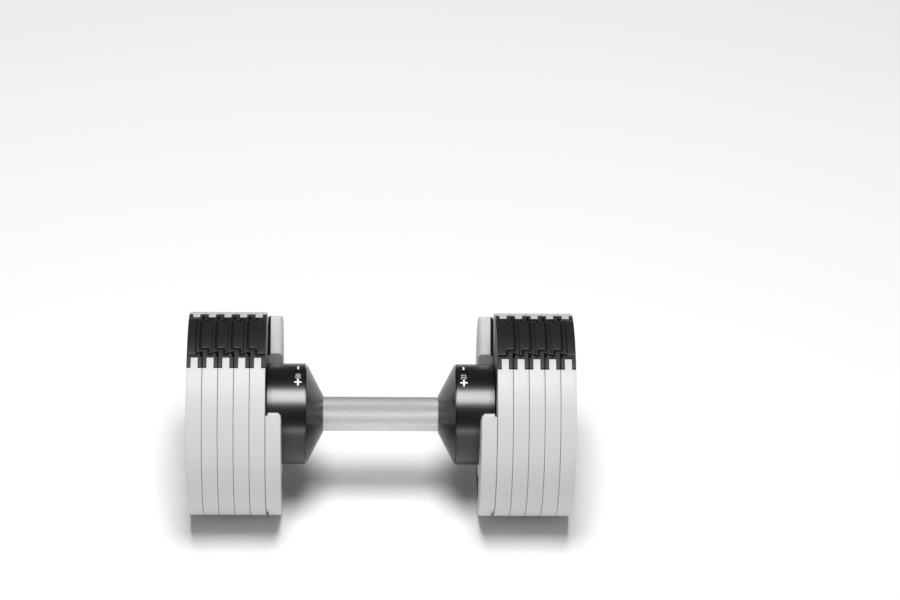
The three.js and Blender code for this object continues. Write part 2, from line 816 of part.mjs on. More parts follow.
// ---------------------------------------------------------------- assembly
const finishes = {
  paintedSteel: { color: 0xdcdcdc, roughness: 0.45, metalness: 0.1 },
  blackPlastic: { color: 0x1c1c1d, roughness: 0.5, metalness: 0 },
  barrelPlastic: { color: 0x141414, roughness: 0.35, metalness: 0 },
  dialPlastic: { color: 0x101010, roughness: 0.5, metalness: 0 },
  bearingPlastic: { color: 0xe6e0d2, roughness: 0.4, metalness: 0 },
  gripSteel: { color: 0xc4c6c8, roughness: 0.3, metalness: 1 },
  machinedSteel: { color: 0x9a9da0, roughness: 0.35, metalness: 1 },
  springSteel: { color: 0x6e7174, roughness: 0.35, metalness: 1 },
  clearLens: { color: 0xe8eef2, roughness: 0.05, metalness: 0 },
};

function piece(name, made, finish) {
  const mesh = new THREE.Mesh(geometryOf(made), new THREE.MeshStandardMaterial(finishes[finish]));
  mesh.name = name;
  return mesh;
}

// Everything at one end, built for +X.
function endPieces(end) {
  const group = new THREE.Group();
  const add = (name, made, finish) => group.add(piece(name + "_" + end, made, finish));
  for (let k = 1; k <= plateCount; k++) {
    add("plate_" + k, plateSteel(k), "paintedSteel");
    add("plate_insert_" + k, insert(k), "blackPlastic");
  }
  add("horseshoe_plate", horseshoe(), "paintedSteel");
  add("horseshoe_insert", horseshoeInsert(), "blackPlastic");
  add("horseshoe_screw_front", plateScrew(-1), "springSteel");
  add("horseshoe_screw_back", plateScrew(1), "springSteel");
  add("housing_barrel", barrel(end === "right"), "barrelPlastic");
  add("housing_cone", coneCover(), "barrelPlastic");
  add("dial_window", dialWindow(), "clearLens");
  add("dial", dial(), "dialPlastic");
  add("grip_bush", gripBush(), "bearingPlastic");
  add("bar_guide", barGuide(), "bearingPlastic");
  add("thrust_washer", thrustWasher(), "bearingPlastic");
  add("retaining_ring", retainingRing(), "springSteel");
  add("hub_screw", hubScrew(), "springSteel");
  add("grip_pin", gripPinBody(gripPinRadius, sleeveInner + pinSink, gripRadius - gripPinSink), "springSteel");
  add("lock_bar", lockBar(), "machinedSteel");
  add("follower_pin", followerPin(), "springSteel");
  return group;
}

const dumbbell = new THREE.Group();
dumbbell.position.z = axisHeight;

const rightEnd = endPieces("right");
rightEnd.add(piece("detent_ball", detentBall(), "springSteel"));
rightEnd.add(piece("detent_spring", detentSpring(), "springSteel"));

// The left end is the right one mirrored, cam hand included.
const leftEnd = endPieces("left");
leftEnd.scale.x = -1;

dumbbell.add(
  rightEnd,
  leftEnd,
  piece("grip_tube", gripTube(), "gripSteel"),
  piece("cam_sleeve", camSleeve(), "machinedSteel"),
  piece("spine_tube", spineTube(), "machinedSteel"),
);

export default dumbbell;
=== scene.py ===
import json
import math

import bmesh
import bpy
import numpy as np
from mathutils import Matrix, Vector, geometry


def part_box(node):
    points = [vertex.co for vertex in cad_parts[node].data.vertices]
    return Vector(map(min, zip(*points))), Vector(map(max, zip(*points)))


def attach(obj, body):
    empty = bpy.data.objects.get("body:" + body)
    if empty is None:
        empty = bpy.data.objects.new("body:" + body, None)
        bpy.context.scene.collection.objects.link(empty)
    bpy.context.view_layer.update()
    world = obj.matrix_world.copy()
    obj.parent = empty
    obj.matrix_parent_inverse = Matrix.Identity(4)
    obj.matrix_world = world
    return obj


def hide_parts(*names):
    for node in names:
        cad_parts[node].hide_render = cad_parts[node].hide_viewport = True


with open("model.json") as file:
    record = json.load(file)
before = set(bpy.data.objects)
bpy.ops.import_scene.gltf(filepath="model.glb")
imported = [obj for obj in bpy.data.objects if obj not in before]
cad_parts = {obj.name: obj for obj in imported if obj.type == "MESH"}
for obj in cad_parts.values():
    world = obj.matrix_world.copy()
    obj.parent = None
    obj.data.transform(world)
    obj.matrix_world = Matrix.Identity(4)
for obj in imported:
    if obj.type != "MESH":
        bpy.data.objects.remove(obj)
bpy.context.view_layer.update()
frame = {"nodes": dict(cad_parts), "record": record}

# Adjustable dumbbell: steel plates with moulded inserts, horseshoe plates, housings, dials and a knurled
# grip. Shapes are worked out in millimetres about the handle's axis, for the right-hand end (+X). The left
# end is the same, mirrored.

MM = 0.001
ENDS = {"right": 1, "left": -1}
FIXED, GRIP = "handle_and_plates", "grip"


# ---------------------------------------------------------------- sizes read from the frame
def extent(node, axis):
    """Lowest and highest coordinate of a CAD node along an axis, in millimetres."""
    low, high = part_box(node)
    return low[axis] / MM, high[axis] / MM


X, Y, Z = 0, 1, 2
AXIS_HEIGHT = sum(extent("grip_tube", Z)) / 2
GRIP_RADIUS = extent("grip_tube", Z)[1] - AXIS_HEIGHT
GRIP_HALF = extent("grip_tube", X)[1]
PLATE_RADIUS = extent("plate_1_right", Y)[1]
PLATES = [extent(f"plate_{k}_right", X) for k in range(1, 6)]
PLATE_GAP = PLATES[1][0] - PLATES[0][1]
TONGUE_REACH = extent("plate_insert_1_right", X)[1] - PLATES[0][1]
FLANGE_HALF = extent("plate_insert_1_right", Y)[1]
HORSESHOE = extent("horseshoe_plate_right", X)
KIDNEY_INSERT = extent("horseshoe_insert_right", X)
BARREL = extent("housing_barrel_right", X)
BARREL_RADIUS = extent("housing_barrel_right", Z)[1] - AXIS_HEIGHT
CONE = extent("housing_cone_right", X)
DIAL = extent("dial_right", X)
DIAL_RADIUS = extent("dial_right", Z)[1] - AXIS_HEIGHT
LENS = extent("dial_window_right", X)
LENS_HALF = extent("dial_window_right", Y)[1]
LENS_RADIUS = extent("dial_window_right", Z)[1] - AXIS_HEIGHT

# ---------------------------------------------------------------- sizes of the visible detail
CLEARANCE = 0.3  # between an insert and its seat, and between housing parts
SLOT_HALF = 30.0  # slot in the steel
LIP_HALF = 40.0  # rebate around it
LIP = 3.85  # its depth in each face
EDGE = 0.45  # rounding of the steel's edges
CORNER = 0.8  # rounding where the slot meets the rim
RAIL_BOTTOM = 24.0  # underside of the dovetail, above the axis
TONGUE_ROOT, TONGUE_HEAD = 23.7, 25.8  # the dovetail's half-width at the plate's face and at its end
GROOVE_DEPTH = 6.1
RAIL_PLAY = 1.0  # beside the tongue in its groove
TONGUE_EDGE = 0.1
TONGUE_FILL = 0.2  # takes up most of the play at the tongue's end
SEAT_EDGE = 0.45  # rounding where the last insert's top meets its groove
PAD_STEP, PAD_END = 20.65, 26.95  # middle of the moulded line beside the pad
PAD_FINGER = 5.05
PAD_OUTBOARD = 2.35
LINE_HALF, LINE_DEPTH, CREASE_DEPTH = 0.42, 3.0, 0.4
MOUTH_WIDTH, MOUTH_LENGTH, MOUTH_DEPTH = 2.7, 6.5, 5.0  # lead-in beside the groove's mouth
FINE = 0.3  # spacing of the inserts' grid
HORSESHOE_SLOT = 47.5
HORSESHOE_EDGE = 0.9
ARM_HEIGHT = 33.8
ARM_BEVEL = 2.5
PAINTED_SHADE_REACH = 1.6  # how far the black strip of painted shade at the arms' ends reaches, in bevels
NOTCH_WIDTH, NOTCH_DEPTH, NOTCH_ANGLE = 2.4, 2.6, -31.0
KIDNEY_INNER, KIDNEY_OUTER, KIDNEY_HALF, KIDNEY_DEPTH = 58.0, 85.0, 44.0, 8.0
SCREW_SPREAD, SCREW_PITCH, SCREW_HEAD, SCREW_PROUD = 28.0, 71.5, 4.5, 0.25
CONE_LIP = 1.05  # how far the cone's edge stands off the grip
SEAM_GAP = 0.85  # between cone and barrel
SHELL, SPIGOT_WALL = 3.0, 2.5
KNURL_AROUND, KNURL_ALONG, KNURL_DEPTH = 76, 1.3, 0.42
KNURL_PAST = 1.5  # how far the knurling runs on under the cones
GRIP_WALL, GRIP_CHAMFER = 2.2, 0.5
WINDOW_AXIAL, WINDOW_AROUND, LENS_WALL = 7.9, 12.4, 2.0
DIAL_STEPS = 10
POUNDS = [50 - 5 * i for i in range(DIAL_STEPS)]
KILOGRAMS = [23, 20, 18, 16, 14, 11, 9, 7, 5, 2]
NUMBER_ANGLE = 86.5  # where the chosen number stands, a little behind the top for a reader in front
DIGIT_HEIGHT, DIGIT_WIDEN = 4.9, 1.2
PRINT_THICKNESS, DIGIT_PROUD, DIGIT_SUNK = 0.12, 0.14, 0.1
PLUS_ANGLE, MINUS_ANGLE = 103.0, 76.0
PLUS_WIDE, PLUS_AROUND, MINUS_AROUND, STROKE = 6.8, 8.0, 6.6, 1.6
LATHE_STEPS = 256


# ---------------------------------------------------------------- outlines in the Y-Z plane
def arc(centre, radius, start, end, count):
    """Points of a circular arc: centre + radius (cos a, sin a), with a running evenly in degrees."""
    angles = np.radians(np.linspace(start, end, count))
    return np.column_stack([centre[0] + radius * np.cos(angles), centre[1] + radius * np.sin(angles)])


def line(start, end, count):
    """Evenly spaced points from start towards end, the end left out."""
    share = np.arange(count)[:, None] / count
    return np.asarray(start) + share * (np.asarray(end) - np.asarray(start))


def both_halves(right):
    """A closed outline from its right half, which runs from the bottom of the middle to its top."""
    return np.vstack([right, (right * [-1, 1])[-2:0:-1]])


def rim_start(radius, height, corner):
    """Rounded corner between the flat foot and the rim: a circle that touches both from inside."""
    y = math.sqrt((radius - corner) ** 2 - (height - corner) ** 2)
    angle = math.degrees(math.atan2(corner - height, y))
    return arc((y, corner - height), corner, -90, angle, 6), angle


def plate_outline(half, inset=0.0):
    """Disc with a flat foot and an upright U slot of the given half-width, every edge drawn in by inset.
    The corner between slot and rim is a circle that touches both."""
    radius, height, half = PLATE_RADIUS - inset, AXIS_HEIGHT - inset, half + inset
    corner = max(CORNER - inset, 0.1)
    foot, start = rim_start(radius, height, corner)
    top = math.sqrt((radius - corner) ** 2 - (half + corner) ** 2)
    end = math.degrees(math.atan2(top, half + corner))
    return both_halves(
        np.vstack(
            [
                line((0, -height), foot[0], 6),
                foot,
                arc((0, 0), radius, start, end, 120)[1:],
                arc((half + corner, top), corner, end, 180, 6)[1:],
                line((half, top), (half, 0), 12)[1:],
                arc((0, 0), half, 0, -90, 40),
            ]
        )
    )


def horseshoe_outline(inset=0.0, end_inset=0.0):
    """Disc with a flat foot, a wide U slot and arms cut off at 45 degrees. The arms' sloping ends are
    drawn in by end_inset and every other edge by inset. Corners are circles that touch both sides."""
    radius, height, half = PLATE_RADIUS - inset, AXIS_HEIGHT - inset, HORSESHOE_SLOT + inset
    arm = ARM_HEIGHT - end_inset * math.sqrt(2) + inset
    foot, start = rim_start(radius, height, 1.0)
    tip, inner = 2.2, 1.5
    q = arm - half - tip * math.sqrt(2)
    tip_y = (-q + math.sqrt(2 * (radius - tip) ** 2 - q * q)) / 2
    tip_centre = (tip_y, tip_y + q)
    end = math.degrees(math.atan2(*tip_centre[::-1]))
    inner_centre = (half + inner, arm + inner * (1 - math.sqrt(2)))
    tip_end = arc(tip_centre, tip, end, 135, 8)
    inner_start = arc(inner_centre, inner, 135, 180, 8)
    right = np.vstack(
        [
            line((0, -height), foot[0], 6),
            foot,
            arc((0, 0), radius, start, end, 110)[1:],
            tip_end[1:],
            line(tip_end[-1], inner_start[0], 8)[1:],
            inner_start,
            line((half, inner_centre[1]), (half, 0), 10)[1:],
            arc((0, 0), half, 0, -90, 60),
        ]
    )
    return both_halves(right)


def notched(outline):
    """The outline with its rim brought in by the notch's depth below the notch's angle."""
    reach = np.hypot(*outline.T)
    side = np.degrees(np.arctan2(outline[:, 1], np.abs(outline[:, 0])))
    low = (side < NOTCH_ANGLE) & (reach > PLATE_RADIUS - NOTCH_DEPTH)
    scale = np.where(low, (PLATE_RADIUS - NOTCH_DEPTH) / reach, 1)
    return outline * scale[:, None]


def kidney_outline(inset=0.0):
    """Ring sector below the barrel with upright sides, its corners rounded by averaging each point with
    its neighbours along the line, then drawn in by inset along the line's normal."""
    wide = math.degrees(math.asin(KIDNEY_HALF / KIDNEY_OUTER))
    narrow = math.degrees(math.asin(KIDNEY_HALF / KIDNEY_INNER))
    outer = arc((0, 0), KIDNEY_OUTER, -90 - wide, -90 + wide, 120)
    inner = arc((0, 0), KIDNEY_INNER, -90 + narrow, -90 - narrow, 120)
    points = np.vstack([outer, line(outer[-1], inner[0], 40)[1:], inner, line(inner[-1], outer[0], 40)[1:]])
    step = np.hypot(*np.diff(np.vstack([points, points[:1]]), axis=0).T)
    along = np.concatenate([[0], np.cumsum(step)])
    even = np.linspace(0, along[-1], 320, endpoint=False)
    closed = np.vstack([points, points[:1]])
    points = np.column_stack([np.interp(even, along, closed[:, i]) for i in (0, 1)])
    points = sum(np.roll(points, shift, axis=0) for shift in range(-3, 4)) / 7
    ahead = np.roll(points, -1, axis=0) - np.roll(points, 1, axis=0)
    normal = np.column_stack([ahead[:, 1], -ahead[:, 0]]) / np.hypot(*ahead.T)[:, None]
    return points - inset * normal


def rounded_rectangle(half_x, half_y, corner, count=8):
    """Closed outline of a rectangle with quarter-circle corners, about the origin."""
    x, y = half_x - corner, half_y - corner
    return np.vstack(
        [
            arc((x, -y), corner, -90, 0, count),
            arc((x, y), corner, 0, 90, count),
            arc((-x, y), corner, 90, 180, count),
            arc((-x, -y), corner, 180, 270, count),
        ]
    )


# ---------------------------------------------------------------- surfaces
def at_x(outline, x):
    """A Y-Z outline placed at a station along the handle."""
    return np.column_stack([np.full(len(outline), x), outline])


def skin(rings, first=0):
    """Quads between successive closed rings of equal count; vertex i of ring j is first + j n + i."""
    rows, n = len(rings), len(rings[0])
    index = first + np.arange(rows * n).reshape(rows, n)
    ahead = np.roll(index, -1, axis=1)
    quads = np.stack([index[:-1], ahead[:-1], ahead[1:], index[1:]], axis=-1)
    return quads.reshape(-1, 4).tolist()


def swept(rings, caps=(True, True)):
    """Vertices and faces of a surface skinned over closed rings, with a flat face at each capped end."""
    n = len(rings[0])
    last = (len(rings) - 1) * n
    faces = skin(rings)
    if caps[0]:
        faces.append(list(range(n)))
    if caps[1]:
        faces.append(list(range(last, last + n)))
    return np.vstack(rings), faces


def round_over(radius, count=4):
    """Steps of a quarter-round edge: pairs (distance from the face, inset), from the face outwards."""
    turn = np.linspace(0, math.pi / 2, count + 1)
    return [(radius * (1 - math.cos(a)), radius * (1 - math.sin(a))) for a in turn]


def edged(outline, x0, x1, radius):
    """Rings of a slab between two stations with quarter-round edges. outline(inset) gives its outline."""
    near = [at_x(outline(radius + EDGE), x0)]
    near += [at_x(outline(inset), x0 + depth) for depth, inset in round_over(radius)]
    far = [at_x(outline(inset), x1 - depth) for depth, inset in round_over(radius)[::-1]]
    return near + far + [at_x(outline(radius + EDGE), x1)]


def lathe(profile, steps=LATHE_STEPS):
    """A closed profile of (x, radius) points turned about the axis."""
    profile = np.asarray(profile, float)
    angles = np.linspace(0, 2 * math.pi, steps, endpoint=False)
    rings = [
        np.column_stack([profile[:, 0], profile[:, 1] * math.cos(a), profile[:, 1] * math.sin(a)])
        for a in angles
    ]
    return swept(rings + rings[:1], caps=(False, False))


def corner_round(before, corner, after, radius, count=5):
    """Points that replace a profile's corner by a curve: a quadratic blend between the points at the given
    distance along each side."""
    before, corner, after = (np.asarray(p, float) for p in (before, corner, after))
    start = corner + radius * (before - corner) / np.linalg.norm(before - corner)
    end = corner + radius * (after - corner) / np.linalg.norm(after - corner)
    t = np.linspace(0, 1, count)[:, None]
    return ((1 - t) ** 2 * start + 2 * t * (1 - t) * corner + t**2 * end).tolist()


def softened(profile, radii):
    """A closed profile with the listed corners rounded: radii maps a corner's number to its distance."""
    made, n = [], len(profile)
    for i, point in enumerate(profile):
        if i in radii:
            made += corner_round(profile[i - 1], point, profile[(i + 1) % n], radii[i])
        else:
            made.append(point)
    return made


# ---------------------------------------------------------------- meshes and pieces
def joined(*shapes):
    """Several shapes as one: their vertices stacked and their faces renumbered."""
    points, faces, first = [], [], 0
    for vertices, polygons in shapes:
        points.append(np.asarray(vertices, float))
        faces += [[first + i for i in face] for face in polygons]
        first += len(vertices)
    return np.vstack(points), faces


def finished_mesh(name, shape, side=1, sharp=35.0):
    """A mesh in metres in the row frame from a shape in millimetres about the axis. Doubles are merged,
    faces are turned outwards, and edges bent by more than sharp degrees stay crisp."""
    points, faces = shape
    points = np.asarray(points, float) * [side, 1, 1] + [0, 0, AXIS_HEIGHT]
    mesh = bpy.data.meshes.new(name)
    mesh.from_pydata((points * MM).tolist(), [], faces)
    mesh.update()
    tidy = bmesh.new()
    tidy.from_mesh(mesh)
    bmesh.ops.remove_doubles(tidy, verts=tidy.verts, dist=1e-6)
    bmesh.ops.dissolve_degenerate(tidy, dist=1e-7, edges=tidy.edges)
    bmesh.ops.recalc_face_normals(tidy, faces=tidy.faces)
    tidy.to_mesh(mesh)
    tidy.free()
    mesh.shade_smooth()
    mesh.set_sharp_from_angle(angle=math.radians(sharp))
    return mesh


def piece(name, shape, material, body, nodes, side=1, sharp=35.0):
    """A shown piece made from a shape, riding on a body in place of its CAD nodes."""
    made = bpy.data.objects.new(name, finished_mesh(name, shape, side, sharp))
    bpy.context.scene.collection.objects.link(made)
    made.data.materials.append(material)
    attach(made, body)
    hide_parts(*nodes)
    return made


# ---------------------------------------------------------------- shader maths
class Wire:
    """A shader socket that does arithmetic: an expression on wires adds its Math nodes."""

    def __init__(self, finish, socket):
        self.finish, self.socket = finish, socket

    def math(self, operation, *values):
        inputs = dict(enumerate(values))
        return self.finish.node("ShaderNodeMath", {"operation": operation}, inputs)

    def __add__(self, other):
        return self.math("ADD", self, other)

    def __sub__(self, other):
        return self.math("SUBTRACT", self, other)

    def __rsub__(self, other):
        return self.math("SUBTRACT", other, self)

    def __mul__(self, other):
        return self.math("MULTIPLY", self, other)

    __radd__, __rmul__ = __add__, __mul__


class Finish:
    """A material under construction."""

    def __init__(self, name, **constants):
        self.material = bpy.data.materials.new(name)
        self.material.use_nodes = True
        self.tree = self.material.node_tree
        self.shader = self.tree.nodes["Principled BSDF"]
        for socket, value in constants.items():
            self.shader.inputs[socket.replace("_", " ")].default_value = value

    def node(self, kind, settings=(), inputs=(), output=0):
        """Adds a node: its settings first, then the values or wires of its sockets."""
        made = self.tree.nodes.new(kind)
        for name, value in dict(settings).items():
            setattr(made, name, value)
        for name, value in dict(inputs).items():
            self.connect(made.inputs[name], value)
        return Wire(self, made.outputs[output])

    def connect(self, socket, value):
        if isinstance(value, Wire):
            self.tree.links.new(value.socket, socket)
        else:
            socket.default_value = value

    def set(self, name, value):
        self.connect(self.shader.inputs[name], value)

    def place(self):
        return self.node("ShaderNodeTexCoord", output="Object")

    def stretched(self, scale):
        """Object coordinates scaled by a different number along each axis."""
        return self.node("ShaderNodeMapping", {}, {"Vector": self.place(), "Scale": scale})

    def noise(self, scale, detail=2.0, roughness=0.5, vector=None):
        """Noise around 0.5, of the given number of cells per metre."""
        inputs = {"Scale": scale, "Detail": detail, "Roughness": roughness, "Vector": vector or self.place()}
        return self.node("ShaderNodeTexNoise", {}, inputs)

    def shade(self, dark, light, factor):
        """A colour between two. The numbers are the Mix node's own for its factor and its colours."""
        inputs = {0: factor, 6: dark, 7: light}
        return self.node("ShaderNodeMix", {"data_type": "RGBA"}, inputs, output=2)

    def bump(self, height, distance, strength=1.0):
        inputs = {"Height": height, "Distance": distance, "Strength": strength}
        self.set("Normal", self.node("ShaderNodeBump", {}, inputs))


def grey(value, alpha=1.0):
    return (value, value, value, alpha)


def painted_steel():
    """Pale powder coat: faint mottling, orange-peel bump and slightly uneven gloss."""
    made = Finish("pale_powder_coat", IOR=1.45)
    cloud = made.noise(18.0, 3.0)
    peel = made.noise(900.0, 2.0, 0.6)
    made.set("Base Color", made.shade((0.525, 0.53, 0.535, 1), (0.565, 0.57, 0.575, 1), cloud))
    made.set("Roughness", 0.42 + 0.12 * made.noise(60.0))
    made.bump(peel + 0.5 * made.noise(2600.0), 0.00006)
    return made.material


def moulded_insert():
    """Glass-filled black plastic with a fine spark-eroded grain."""
    made = Finish("grained_black_plastic", IOR=1.42)
    grain = made.noise(2200.0, 3.0, 0.65)
    made.set("Base Color", made.shade(grey(0.005), grey(0.011), made.noise(35.0, 3.0)))
    made.set("Roughness", 0.44 + 0.16 * grain)
    made.bump(grain, 0.00008)
    return made.material


def housing_plastic():
    """Satin black housing plastic with faint flow marks and a very light grain."""
    made = Finish("satin_black_plastic", IOR=1.58)
    flow = made.noise(1.0, 3.0, 0.5, made.stretched((14, 60, 60)))
    grain = made.noise(3200.0, 2.0)
    made.set("Base Color", made.shade(grey(0.0015), grey(0.003), flow))
    made.set("Roughness", 0.23 + 0.05 * flow + 0.03 * grain)
    made.bump(grain, 0.00002)
    return made.material


def grip_steel():
    """Satin chromed steel with fine turning marks. Its base colour is darkened down in the knurling's
    grooves, by the distance from the axis, as painted shade."""
    made = Finish("satin_chrome", Metallic=0.72)
    y, z = (made.node("ShaderNodeSeparateXYZ", {}, {"Vector": made.place()}, output) for output in (1, 2))
    z = z - AXIS_HEIGHT * MM
    square = y * y + z * z
    reach = square.math("SQRT", square)
    # painted shade: the base colour darkens towards the bottom of the knurling's grooves
    groove = (GRIP_RADIUS * MM - reach) * (1 / (KNURL_DEPTH * MM))
    groove = made.node("ShaderNodeClamp", {}, {"Value": groove})
    turning = made.noise(1.0, 2.0, 0.5, made.stretched((4000, 120, 120)))
    tone = made.shade(grey(0.88), grey(0.97), made.noise(45.0, 3.0))
    # the grooves take grey 0.55, painted shade that gives the knurl its contrast
    made.set("Base Color", made.shade(tone, grey(0.55), groove))
    made.set("Roughness", 0.34 + 0.12 * turning)
    made.bump(turning, 0.00001)
    return made.material


def machined_steel(name, tone, roughness):
    """Turned steel: rings around the axis in gloss and a slight bump."""
    made = Finish(name, Metallic=1.0)
    rings = made.noise(1.0, 2.0, 0.5, made.stretched((3000, 80, 80)))
    made.set("Base Color", made.shade(grey(tone * 0.85), grey(tone), made.noise(80.0, 3.0)))
    made.set("Roughness", roughness + 0.15 * rings)
    made.bump(rings, 0.00001)
    return made.material


def bearing_plastic():
    """Ivory acetal, slightly waxy."""
    made = Finish("ivory_acetal", IOR=1.48)
    made.set("Base Color", made.shade((0.66, 0.62, 0.53, 1), (0.76, 0.72, 0.62, 1), made.noise(50.0, 3.0)))
    made.set("Roughness", 0.34 + 0.1 * made.noise(400.0))
    made.bump(made.noise(1500.0), 0.00002)
    return made.material


def dial_plastic():
    """Matt black ring that carries the numbers."""
    made = Finish("matt_black_dial", IOR=1.5)
    grain = made.noise(1800.0, 2.0)
    made.set("Base Color", made.shade(grey(0.008), grey(0.014), grain))
    made.set("Roughness", 0.5 + 0.1 * grain)
    made.bump(grain, 0.00003)
    return made.material


def white_print():
    """Pad-printed white ink with a slightly uneven film."""
    made = Finish("white_print", IOR=1.45)
    film = made.noise(1200.0, 2.0)
    made.set("Base Color", made.shade(grey(0.84), grey(0.93), film))
    made.set("Roughness", 0.5 + 0.1 * film)
    return made.material


def clear_lens():
    """Clear moulded window: mostly see-through, with a thin gloss."""
    made = Finish("clear_lens", IOR=1.49, Alpha=0.1)
    made.set("Base Color", made.shade(grey(0.015), grey(0.025), made.noise(60.0)))
    made.set("Roughness", 0.04 + 0.03 * made.noise(200.0))
    return made.material


# ---------------------------------------------------------------- plates
def plate_shape(x0, x1):
    """A steel plate: rounded outer edges and, around the slot, a rebate in each face for the insert."""
    wide = lambda inset: plate_outline(LIP_HALF, inset)
    near = [at_x(wide(2 * EDGE), x0)] + [at_x(wide(inset), x0 + dx) for dx, inset in round_over(EDGE)]
    far = [at_x(wide(inset), x1 - dx) for dx, inset in round_over(EDGE)[::-1]] + [at_x(wide(2 * EDGE), x1)]
    inner, outer = x0 + LIP, x1 - LIP
    middle = [
        at_x(wide(0), inner),
        at_x(plate_outline(SLOT_HALF), inner),
        at_x(plate_outline(SLOT_HALF), outer),
        at_x(wide(0), outer),
    ]
    return swept(near + middle + far)


def horseshoe_rings(x0, x1):
    """Rings of the horseshoe plate. Its edges are rounded, its arms' ends bevelled at both faces, and a
    notch runs along the lower outer edge."""
    stations = []
    for dx, inset in round_over(HORSESHOE_EDGE, 5):
        stations.append((dx, inset, max(ARM_BEVEL - dx, 0) + 0.3 * inset))
    stations += [(dx, 0.0, ARM_BEVEL - dx) for dx in (1.3, 1.8, 2.2)]
    stations += [(2.45, 0.0, 0.12), (2.8, 0.0, 0.0)]
    face = horseshoe_outline(2 * HORSESHOE_EDGE, ARM_BEVEL + HORSESHOE_EDGE)
    near = [at_x(face, x0)]
    near += [at_x(horseshoe_outline(inset, end), x0 + dx) for dx, inset, end in stations]
    far = [at_x(horseshoe_outline(inset, end), x1 - dx) for dx, inset, end in stations[::-1]]
    far += [at_x(face, x1)]
    step = x1 - NOTCH_WIDTH
    before = [ring for ring in far if ring[0, 0] < step]
    after = [ring for ring in far if ring[0, 0] >= step]
    edge = horseshoe_outline(0, ARM_BEVEL - NOTCH_WIDTH)
    after = [at_x(notched(edge), step)] + [at_x(notched(ring[:, 1:]), ring[0, 0]) for ring in after]
    return near + before + [at_x(edge, step)] + after


def holed_cap(outer, hole, first):
    """Triangles that fill an outline around a hole. The outline's vertices are numbered from 0 and the
    hole's from first."""
    loops = [[Vector((y, z, 0)) for y, z in loop] for loop in (outer, hole)]
    numbers = [*range(len(outer)), *range(first, first + len(hole))]
    return [[numbers[i] for i in triangle] for triangle in geometry.tessellate_polygon(loops)]


def horseshoe_shape(x0, x1):
    """The horseshoe plate with the kidney pocket sunk into its inner face."""
    rings = horseshoe_rings(x0, x1)
    points, faces = swept(rings, caps=(False, True))
    rim = [at_x(kidney_outline(-inset), x0 + dx) for dx, inset in round_over(0.5)]
    pocket = rim + [at_x(kidney_outline(), x0 + KIDNEY_DEPTH)]
    count, around = len(points), len(rim[0])
    faces += skin(pocket, count)
    last = count + (len(pocket) - 1) * around
    faces.append(list(range(last, last + around)))
    faces += holed_cap(rings[0][:, 1:], rim[0][:, 1:], count)
    return np.vstack([points] + pocket), faces


def line_arm_edge(plate):
    """Paints shade on the outboard bevel at the arms' ends: a black strip of painted shade, in the inserts'
    black plastic, on the faces past the bevel's start that lie near the 45-degree line and look upwards."""
    # the black strip stands in for the shadow in the gap between the arm's end and plate 1: painted shade
    plate.data.materials.append(finishes["insert"])
    for face in plate.data.polygons:
        x, y, z = face.center / MM
        rise = (z - AXIS_HEIGHT - ARM_HEIGHT) - (abs(y) - HORSESHOE_SLOT)
        if abs(x) > HORSESHOE[1] - ARM_BEVEL and rise > -ARM_BEVEL * PAINTED_SHADE_REACH and face.normal.z > 0.2:
            face.material_index = 1


def screw_shape(x0, end, y, z):
    """Cap screw along the axis: rounded head with a hexagon socket, then a plain shank. A ring's radius is
    constant, or for the socket that of a hexagon at each angle."""
    count = 48
    angles = np.linspace(0, 2 * math.pi, count, endpoint=False)
    sector = math.pi / 3
    hexagon = math.cos(sector / 2) / np.cos((angles % sector) - sector / 2)
    circle = np.ones_like(angles)
    head, length, shank, socket, socket_depth = SCREW_HEAD, 4.0, 2.5, 2.3, 2.4
    stations = [
        (x0 + socket_depth, socket * hexagon),
        (x0 + 0.3, socket * hexagon),
        (x0, (socket + 0.3) * hexagon),
        (x0, (head - 0.5) * circle),
        (x0 + 0.15, (head - 0.15) * circle),
        (x0 + 0.5, head * circle),
        (x0 + length, head * circle),
        (x0 + length, shank * circle),
        (end - 0.4, shank * circle),
        (end, (shank - 0.4) * circle),
    ]
    rings = [
        np.column_stack([np.full(count, x), y + r * np.cos(angles), z + r * np.sin(angles)])
        for x, r in stations
    ]
    return swept(rings)


# ---------------------------------------------------------------- inserts
def line_path(first, last):
    """Middle of the moulded line around one half of an insert's pad, as (distance past the plate's outer
    face, distance from the middle): straight across, round the finger, out and round to the groove."""
    if last:
        return np.vstack([line((1.5, PAD_END), (-13, PAD_END), 90)])
    r = 1.9
    far = -15.0 if first else -7.9
    across, neck = PAD_OUTBOARD, -PAD_FINGER
    slope = 0.0 if first else 0.7
    return np.vstack(
        [
            line((across, 0), (across, PAD_STEP - r), 80),
            arc((across - r, PAD_STEP - r), r, 0, 90, 24),
            line((across - r, PAD_STEP), (neck + 1.6, PAD_STEP), 30),
            arc((neck + 1.6, PAD_STEP + 1.6), 1.6, 270, 180, 20),
            line((neck, PAD_STEP + 1.6), (neck, PAD_END - 1.5), 20),
            arc((neck - 1.5, PAD_END - 1.5), 1.5, 0, 90, 20),
            line((neck - 1.5, PAD_END), (far, PAD_END - slope), 60),
        ]
    )


